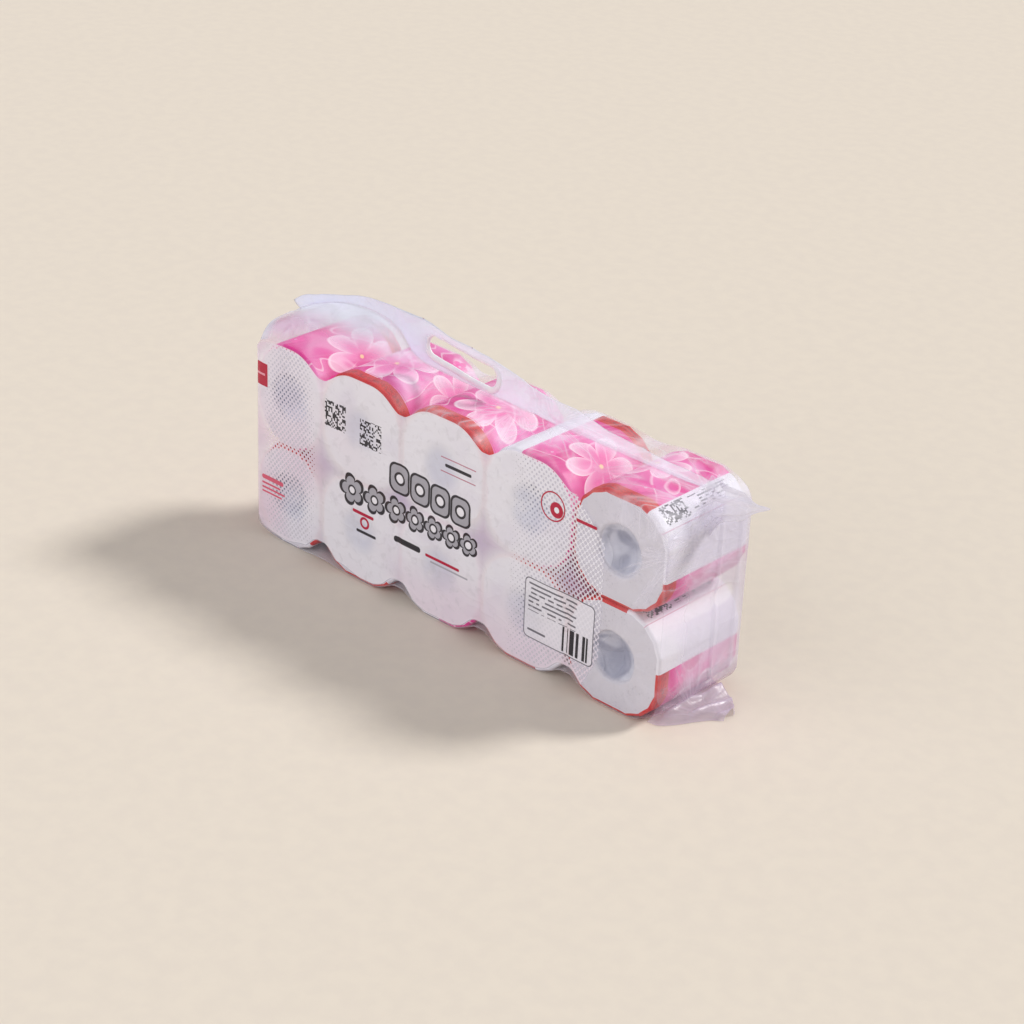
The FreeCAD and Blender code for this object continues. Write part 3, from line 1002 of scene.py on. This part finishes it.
def makeTopEar():
    # a hollow pleated cone that flattens to a tip
    rows = earLook["top"]
    around = 64
    total = (len(rows) - 1) * 5
    ear, (haze, rim) = addGrid(around, total, ("haze", "rim"))
    for vertex in ear.data.vertices:
        i = gridPlace(vertex, around, total)[0] % around
        j = (vertex.co.y + 1) / 2 * (len(rows) - 1)
        out, high, thick, up, lean = alongRows(rows, j)
        a = math.tau * i / around
        far = out / 46
        waves = 0.20 * math.sin(7 * a + 1.1 + 2 * far) + 0.10 * math.sin(12 * a + 0.4)
        pleat = 1 + waves * (1 - 0.6 * far) * (0.4 + 0.6 * smooth(0, 0.2, far))
        y = lean + thick * math.cos(a) * pleat
        z = rollsTop + up + high * math.sin(a) * pleat
        vertex.co = Vector((bagRight + out, y, z)) * mm
        haze.data[vertex.index].value = 0.12 + 0.45 * smooth(0.05, 0.6, far) + 0.3 * max(0.0, pleat - 1.1)
        rim.data[vertex.index].value = -1.0
    return ear


def makeFootEar(atRight):
    # the film's lower corner, pulled out flat and crumpled on the floor
    side = 1 if atRight else -1
    x0 = bagRight if atRight else bagLeft
    scale, flat = (1.0, 1.0) if atRight else earLook["leftFoot"]
    rows = earLook["foot"]
    across, total = 54, 44
    ear, (haze, rim) = addGrid(across, total, ("haze", "rim"))
    for vertex in ear.data.vertices:
        i = (vertex.co.x + 1) / 2
        j = (vertex.co.y + 1) / 2 * (len(rows) - 1)
        out, low, high, up = alongRows(rows, j)
        y = low + (high - low) * i
        edge = smooth(0, 0.18, i) * smooth(0, 0.12, 1 - i)
        far = max(0.0, out) / 31
        dent = noise.noise(Vector((y * 0.05, out * 0.09, 2.0)))
        # folds run along the bag's lower edge and spread towards the tip
        wander = 0.8 * noise.noise(Vector((y * 0.03, out * 0.03, 1.0)))
        ridge = 1 - abs(math.sin(out * 0.24 - (i - 0.5) * 2.2 + wander))
        z = up * (0.55 + 0.45 * i) * (0.9 + 0.3 * dent) + 2.2 * ridge ** 2 * (1 - 0.4 * far)
        z = 0.7 + z * edge * flat
        vertex.co = Vector((x0 + side * (out + 0.4 * dent * far) * scale, y, max(0.4, z))) * mm
        haze.data[vertex.index].value = 0.42 + 0.36 * ridge ** 2 * edge + 0.14 * far
        rim.data[vertex.index].value = -1.0
    return ear


# ---- printed bag film ----
def boxMask(x, z, cx, cz, halfWidth, halfHeight, corner, soft=0.25):
    # 1 inside a rounded rectangle
    qx = (abs(x - cx) - (halfWidth - corner)).most(0.0)
    qz = (abs(z - cz) - (halfHeight - corner)).most(0.0)
    return ((qx * qx + qz * qz) ** 0.5).fall(corner - soft, corner + soft)


def farFrom(x, z, cx, cz):
    dx = x - cx
    dz = z - cz
    return (dx * dx + dz * dz) ** 0.5


def ringMask(x, z, cx, cz, radius, half, soft=0.3):
    return abs(farFrom(x, z, cx, cz) - radius).fall(half - soft, half + soft)


def discMask(x, z, cx, cz, radius, soft=0.3):
    return farFrom(x, z, cx, cz).fall(radius - soft, radius + soft)


bagPrint = {
    "clearTint": fromPaint(243, 240, 252),
    "leftTint": fromPaint(232, 234, 250),
    # painted shade: darker, bluer film on the right end
    "endShade": fromPaint(226, 221, 240),
    # painted shade: darker lilac low on the right end, for the floor shadow under the film
    "footShade": fromPaint(208, 192, 216),
    "white": fromPaint(244, 242, 250),
    "blush": fromPaint(240, 216, 232),
    # painted shade over the gaps between roll ends and over the core mouths
    "gapShade": fromPaint(212, 201, 226),
    "mouthShade": fromPaint(216, 218, 236),
    "mottle": fromPaint(206, 202, 210),
    "ink": fromPaint(40, 38, 46),
    "grey": fromPaint(172, 170, 180),
    "fineInk": fromPaint(112, 110, 120),
    "outline": fromPaint(96, 94, 104),
    "red": fromPaint(186, 22, 60),
    "softRed": fromPaint(222, 96, 122),
    "faintRed": fromPaint(190, 120, 140),
    "tagStripe": fromPaint(236, 160, 178),
    "clearAlpha": 0.05,
    "hazeAlpha": 0.86,
    "printAlpha": 0.86,
    "dotPitch": (5.0, 5.8),
    "printEnd": 180.5,       # the print stops here, on a curve
    # signs in place of words: place along the bag, height, size
    "rollSigns": [(-49.0, 117.8, 13.0), (-24.5, 116.6, 12.8), (-0.5, 115.4, 12.6), (23.0, 114.2, 12.4)],
    "signRow": 86.5,
    "blossoms": [(-106, 16.0), (-78.5, 14.5), (-53, 13.4), (-29.5, 12.6), (-7.5, 12.0), (13.5, 11.6),
                 (33, 11.2)],
    # blocks of small squares: place, height, half width, half height
    "codes": [(-128, 149.5, 13.0, 12.5), (-84.5, 146, 13.0, 12.5)],
    "square": 1.7,
    # bars (place, height, half width, half height, corner), rings (radius, half thickness) and discs (radius)
    "marks": [
        (boxMask, (19, 157.4, 20, 0.5, 0.4), "faintRed"),
        (boxMask, (19, 151, 15, 1.5, 1.2), "ink"),
        (boxMask, (19, 144.6, 20, 0.5, 0.4), "faintRed"),
        (boxMask, (-92, 68, 13, 1.6, 1.4), "red"),
        (ringMask, (-90, 60, 4.6, 1.2), "red"),
        (boxMask, (-88, 50.5, 12, 1.4, 1.2), "ink"),
        (boxMask, (-38, 60, 16, 2.8, 2.4), "ink"),
        (boxMask, (4, 59, 20, 1.4, 1.2), "red"),
        (boxMask, (12, 54.5, 22, 0.8, 0.7), "grey"),
        (boxMask, (-208, 58, 14, 2.2, 1.98), "softRed"),
        (boxMask, (-210, 52, 12, 1.0, 0.9), "softRed"),
        (boxMask, (-207, 47.5, 15, 1.0, 0.9), "softRed"),
        (boxMask, (-209, 43.5, 13, 0.9, 0.81), "softRed"),
        (ringMask, (124, 158, 12.5, 0.7), "red"),
        (discMask, (128, 156, 7.0), "red"),
        (discMask, (128, 156, 2.6), "white"),
        (boxMask, (160, 156, 11, 1.5, 1.2), "red"),
    ],
    "panel": (136.5, 57.6, 38, 28, 5.0),
}


def fanLines(start, a, b, count, seed, reach):
    # thin creases that spread from (0, 0) towards +a and die away at reach
    angle = b.math("ARCTAN2", b, a)
    r = (a * a + b * b) ** 0.5
    at = start.joined(angle * count, r / 90, seed)
    n = at.noise(1.0, 2.0, 0.25)
    return n.ridged(9) * r.fall(reach * 0.2, reach) * r.rise(3, 18)


def makeBagMaterial():
    look = bagPrint
    fixed = {"Roughness": 0.26, "IOR": 1.5, "Specular IOR Level": 0.4}
    material, start, shader = newMaterial("bagFilm", fixed)
    place = objectPlace(start)
    x, y, z = [place.part(i) * 1000 for i in range(3)]
    haze, rim, gap = [start.node("ShaderNodeAttribute", {"attribute_name": name}, None, 2)
                      for name in ("haze", "rim", "gap")]
    onFront = rim.rise(1.2, 2.2)
    # the white print stops on a curve at the right
    limit = look["printEnd"] - (z - 146).most(0.0) * 1.04 - (42 - z).most(0.0) * 0.5
    # halftone of clear dots, in staggered rows
    pitchX, pitchZ = look["dotPitch"]

    def fromDot(shift):
        dx = ((x / pitchX + shift).fract() - 0.5) * pitchX
        dz = ((z / pitchZ + shift).fract() - 0.5) * pitchZ
        return (dx * dx + dz * dz * 0.8) ** 0.5

    leftDx = (x + 186) / 34
    leftDz = (z - 96) / 70
    leftSpot = (leftDx * leftDx + leftDz * leftDz * 0.2).fall(0.25, 1.3)
    grow = (x.rise(66, 110) * 0.85 + x.rise(125, 176) * 0.62 + leftSpot * 0.95) * rim.rise(2, 4)
    dots = (fromDot(0.0).least(fromDot(0.5)) - grow).fall(-0.25, 0.25) * grow.rise(0.15, 0.3)
    printed = onFront * (x - limit).fall(-0.8, 0.8) * (1 - dots)
    # painted shade: the print stays white where the film lies on a roll end, and is painted darker lilac over
    # the shaded gaps between rolls and bluish grey over the shaded core mouths
    rollX = (x / 97 + 0.5).fract() * 97 - 48.5
    columnOne = x.fall(-146, -145.5)
    rollX = rollX * (1 - columnOne) + (x + 186.5) * columnOne
    rollZ = abs(z - (rowMiddles[0] + rowMiddles[1]) / 2) - (rowMiddles[1] - rowMiddles[0]) / 2
    mouth = (rollX * rollX + rollZ * rollZ) ** 0.5
    cloud = place.noise(26.0, 3.0)
    sheet = (gap.rise(-3, 3) * 0.25 + gap.rise(0, 13) * 0.75).mix(look["white"], look["gapShade"])
    sheet = (mouth.fall(10, 25) * cloud.rise(0.3, 0.5) * 0.7).mix(sheet, look["mouthShade"])
    # random cloudy patches of the same darker lilac
    sheet = (cloud.rise(0.45, 0.75) * 0.25).mix(sheet, look["gapShade"])
    blushAt = place.noise(9.0, 1.0)
    rosy = x.fall(-190, -40) * (0.25 + 0.4 * z.fall(80, 170)) + z.fall(15, 80) * 0.5 + gap.rise(-2, 8) * 0.4
    sheet = (blushAt.rise(0.38, 0.6) * rosy.least(0.8)).mix(sheet, look["blush"])
    mottle = place.noise(130.0, 4.0, 0.6)
    sheet = (mottle.rise(0.52, 0.72) * 0.30).mix(sheet, look["mottle"])
    tint = x.rise(-90, -30).mix(look["leftTint"], look["clearTint"])
    # painted shade: the film over the right end is painted darker and bluer
    nearEnd = x.rise(bagRight - 1.5, bagRight - 0.5) * x.fall(bagRight + 6, bagRight + 14)
    tint = nearEnd.mix(tint, look["endShade"])
    # painted shade: the film low on the right end and over the foot ear is painted darker lilac for the floor
    # shadow under it
    tint = (z.fall(18, 32) * x.rise(bagRight - 30, bagRight - 6)).mix(tint, look["footShade"])
    colour = printed.mix(tint, sheet)
    ink = None

    def draw(mask, paint):
        nonlocal colour, ink
        mask = mask * onFront
        colour = mask.mix(colour, paint)
        ink = mask if ink is None else ink.most(mask)

    # two rows of outlined blossoms and roll signs, in place of words
    for cx, cz, size in look["rollSigns"]:
        draw(boxMask(x, z, cx, cz, size - 0.8, size + 1.6, 7.5), look["ink"])
        draw(boxMask(x, z, cx, cz, size - 3.0, size - 0.6, 5.6), look["grey"])
        draw(ringMask(x, z, cx, cz, 5.2, 1.1), look["ink"])
        draw(discMask(x, z, cx, cz, 4.0), look["white"])
    cz = look["signRow"]
    for cx, size in look["blossoms"]:
        share, r = flower(x, z, cx, cz, size, 1.57, 5, 0.62)
        draw(share.fall(0.97, 1.03), look["ink"])
        draw(share.fall(0.75, 0.8), look["grey"])
        draw(ringMask(x, z, cx, cz, 4.0, 0.9), look["ink"])
        draw(discMask(x, z, cx, cz, 3.1), look["white"])
    side = look["square"]
    for cx, cz, halfWidth, halfHeight in look["codes"]:
        cell = start.joined(((x - cx) / side).floor(), ((z - cz) / side).floor(), cx)
        block = boxMask(x, z, cx, cz, halfWidth, halfHeight, 0.4)
        draw(block * cell.chance("3D").rise(0.5, 0.52), look["ink"])
    # red tag with a pale stripe at the left edge
    tagged = x.fall(-214.5, -214.1) * z.rise(146.6, 146.9) * z.fall(168.6, 168.9)
    draw(tagged, look["red"])
    draw(tagged * z.rise(156.6, 156.9) * z.fall(158.6, 158.9) * x.fall(-218, -217.6), look["tagStripe"])
    # bars where small print would be, and a red ring round a small roll sign
    for mask, size, paint in look["marks"]:
        draw(mask(x, z, *size), look[paint])
    # facts panel: a whiter field, its outline, bars and upright lines
    cx, cz, halfWidth, halfHeight, corner = look["panel"]
    whole = boxMask(x, z, cx, cz, halfWidth, halfHeight, corner)
    panel = whole * onFront
    colour = (panel * 0.7).mix(colour, look["white"])
    draw(whole - boxMask(x, z, cx, cz, halfWidth - 0.9, halfHeight - 0.9, corner - 0.7), look["outline"])
    textRows = (z / 4.2).fract().fall(0.34, 0.42) * boxMask(x, z, 129, 69, 26, 13.5, 0.5)
    gaps = start.joined((x / 3.1).floor(), (z / 4.2).floor(), 0.0).chance("2D")
    draw(textRows * gaps.rise(0.2, 0.22), look["fineInk"])
    draw(boxMask(x, z, 113, 37.5, 10, 1.0, 0.8), look["fineInk"])
    code = start.node("ShaderNodeTexWhiteNoise", {"noise_dimensions": "1D"}, {"W": (x / 1.0).floor()})
    draw(boxMask(x, z, 155, 43.5, 14, 11.5, 0.3) * code.rise(0.45, 0.47), look["ink"])

    # creases: fans from the gathered places, and crumpled facets all over
    front = y.fall(-46, -44)
    roofOnly = z.rise(rollsTop - 16, rollsTop - 6)
    fans = fanLines(start, bagRight + 14 - x, y + 4, 3.2, 1.0, 210) * z.rise(rollsTop - 34, rollsTop - 20)
    fans = fans.most(fanLines(start, 78 - x, y * 1.1, 2.4, 4.0, 130) * roofOnly)
    fans = fans.most(fanLines(start, x - 36, y * 1.1, 2.6, 9.0, 150) * roofOnly)
    onEnd = x.rise(bagRight - 6, bagRight - 1)
    fans = fans.most(fanLines(start, z - 2, y + 4, 3.0, 15.0, 90) * onEnd * 0.8)
    fans = fans.most(fanLines(start, rollsTop + 2 - z, y - 3, 3.0, 23.0, 110) * onEnd * 0.9)
    levelAt = start.joined(y / 44, z / 13 + y / 60, 31.0)
    level = levelAt.noise(1.0, 2.0, 0.4)
    fans = fans.most(level.ridged(9) * onEnd * z.rise(rollsTop - 90, rollsTop - 60) * 0.8)
    fans = fans.most(fanLines(start, bagRight + 10 - x, z - rollsTop + 30, 3.0, 18.0, 110) * front * 0.85)
    printedOn = printed.most(panel * 0.9)
    # the crease lines whiten the film: partly its own whitening at folds, partly painted highlights along
    # them
    alpha = haze * look["hazeAlpha"] + look["clearAlpha"] + fans * 0.42 * (1 - haze)
    alpha = alpha.most(printedOn * look["printAlpha"])
    alpha = alpha.most(ink * 0.97).least(1.0)
    feed(start, shader, "Base Color", colour)
    feed(start, shader, "Alpha", alpha)
    broad = place.noise(15.0, 1.0, 0.8)
    foldAt = start.joined(x / 34 - z / 60, y / 40, z / 22 + x / 90)
    foldNoise = foldAt.noise(1.0, 1.5, 0.4)
    folds = foldNoise.ridged(6)
    height = fans * 0.22 + broad * 1.0 + folds * 0.4 + mottle * 0.12
    feed(start, shader, "Normal", height.bump(0.4, 0.0022))
    return material


bagMaterial = makeBagMaterial()
bagFilm = makeBagFilm()
rightPanel = makeEndPanel(bagRight, True)
leftPanel = makeEndPanel(bagLeft, False)
topEar = makeTopEar()
footEarRight = makeFootEar(True)
footEarLeft = makeFootEar(False)
joinParts((rightPanel, leftPanel, bagFilm), bagFilm)
weld(0.00002)
cutSlot(bagFilm)
joinParts((topEar, footEarRight, footEarLeft), topEar)
topEar.name = "bagEars"
weld(0.00002)
slotRim = makeSlotRim()
rimMaterial, rimStart, rimShader = newMaterial("rimFilm", {"Roughness": 0.3, "Alpha": 0.94})
rimTone = objectPlace(rimStart).noise(60.0, 3.0)
rimColour = rimTone.rise(0.35, 0.7).mix(fromPaint(244, 242, 252), fromPaint(255, 254, 255))
feed(rimStart, rimShader, "Base Color", rimColour)
feed(rimStart, rimShader, "Normal", rimTone.bump(0.4, 0.001))
for part, material in ((bagFilm, bagMaterial), (topEar, bagMaterial), (slotRim, rimMaterial)):
    finishPiece(part, material, "carry_bag")
bagFilm.visible_shadow = False
print("carry bag made")


# ---- floor, light and camera ----
stage = {
    "floorSize": 14.0, "floorDark": fromPaint(226, 216, 204), "floorPale": fromPaint(229, 219, 206),
    "sky": 0.42, "skyTint": (1.0, 0.99, 0.99),
    "sun": 2.1, "sunAngle": 14.0, "toSun": (0.59, 0.88, 1.0), "sunTint": (1.0, 0.985, 0.95),
    "fill": 1.1, "fillAngle": 70.0, "toFill": (-0.25, -1.0, 0.5), "fillTint": (0.99, 0.98, 1.0),
}
clearSelection()
bpy.ops.mesh.primitive_plane_add(size=stage["floorSize"], location=(0, 0, 0))
floor = bpy.context.object
floor.name = "studioFloor"
floorFixed = {"Roughness": 0.9, "Specular IOR Level": 0.1}
floorMaterial, floorStart, floorShader = newMaterial("studioFloorPaint", floorFixed)
floorTone = objectPlace(floorStart).noise(60.0, 6.0).rise(0.3, 0.7)
feed(floorStart, floorShader, "Base Color", floorTone.mix(stage["floorDark"], stage["floorPale"]))
floor.data.materials.append(floorMaterial)

world = bpy.data.worlds.new("studioSky")
bpy.context.scene.world = world
world.use_nodes = True
background = world.node_tree.nodes["Background"]
background.inputs["Color"].default_value = (*stage["skyTint"], 1)
background.inputs["Strength"].default_value = stage["sky"]

for lamp in ("sun", "fill"):
    toLamp = Vector(stage["toSun" if lamp == "sun" else "toFill"])
    clearSelection()
    bpy.ops.object.light_add(type="SUN", location=toLamp * 1.5)
    light = bpy.context.object
    light.name = lamp + "Lamp"
    light.data.energy = stage[lamp]
    light.data.angle = math.radians(stage[lamp + "Angle"])
    light.data.color = stage[lamp + "Tint"]
    light.rotation_euler = toLamp.to_track_quat("Z", "Y").to_euler()

view = {
    "azimuth": 41.834, "elevation": 27.326, "roll": 2.623,
    "place": (1.2835, -1.3959, 1.0684),
    "lens": 87.98,
}
a, e, r = [math.radians(view[k]) for k in ("azimuth", "elevation", "roll")]
back = Vector((math.sin(a) * math.cos(e), -math.cos(a) * math.cos(e), math.sin(e)))
right = Vector((0, 0, 1)).cross(back).normalized()
up = back.cross(right)
rightTurned = right * math.cos(r) + up * math.sin(r)
upTurned = up * math.cos(r) - right * math.sin(r)
clearSelection()
bpy.ops.object.camera_add()
camera = bpy.context.object
camera.matrix_world = Matrix((
    (rightTurned.x, upTurned.x, back.x, view["place"][0]),
    (rightTurned.y, upTurned.y, back.y, view["place"][1]),
    (rightTurned.z, upTurned.z, back.z, view["place"][2]),
    (0, 0, 0, 1),
))
camera.data.sensor_width = 36
camera.data.lens = view["lens"]
camera.data.clip_end = 50
bpy.context.scene.camera = camera
bpy.context.scene.view_settings.view_transform = "Standard"
print("stage set")
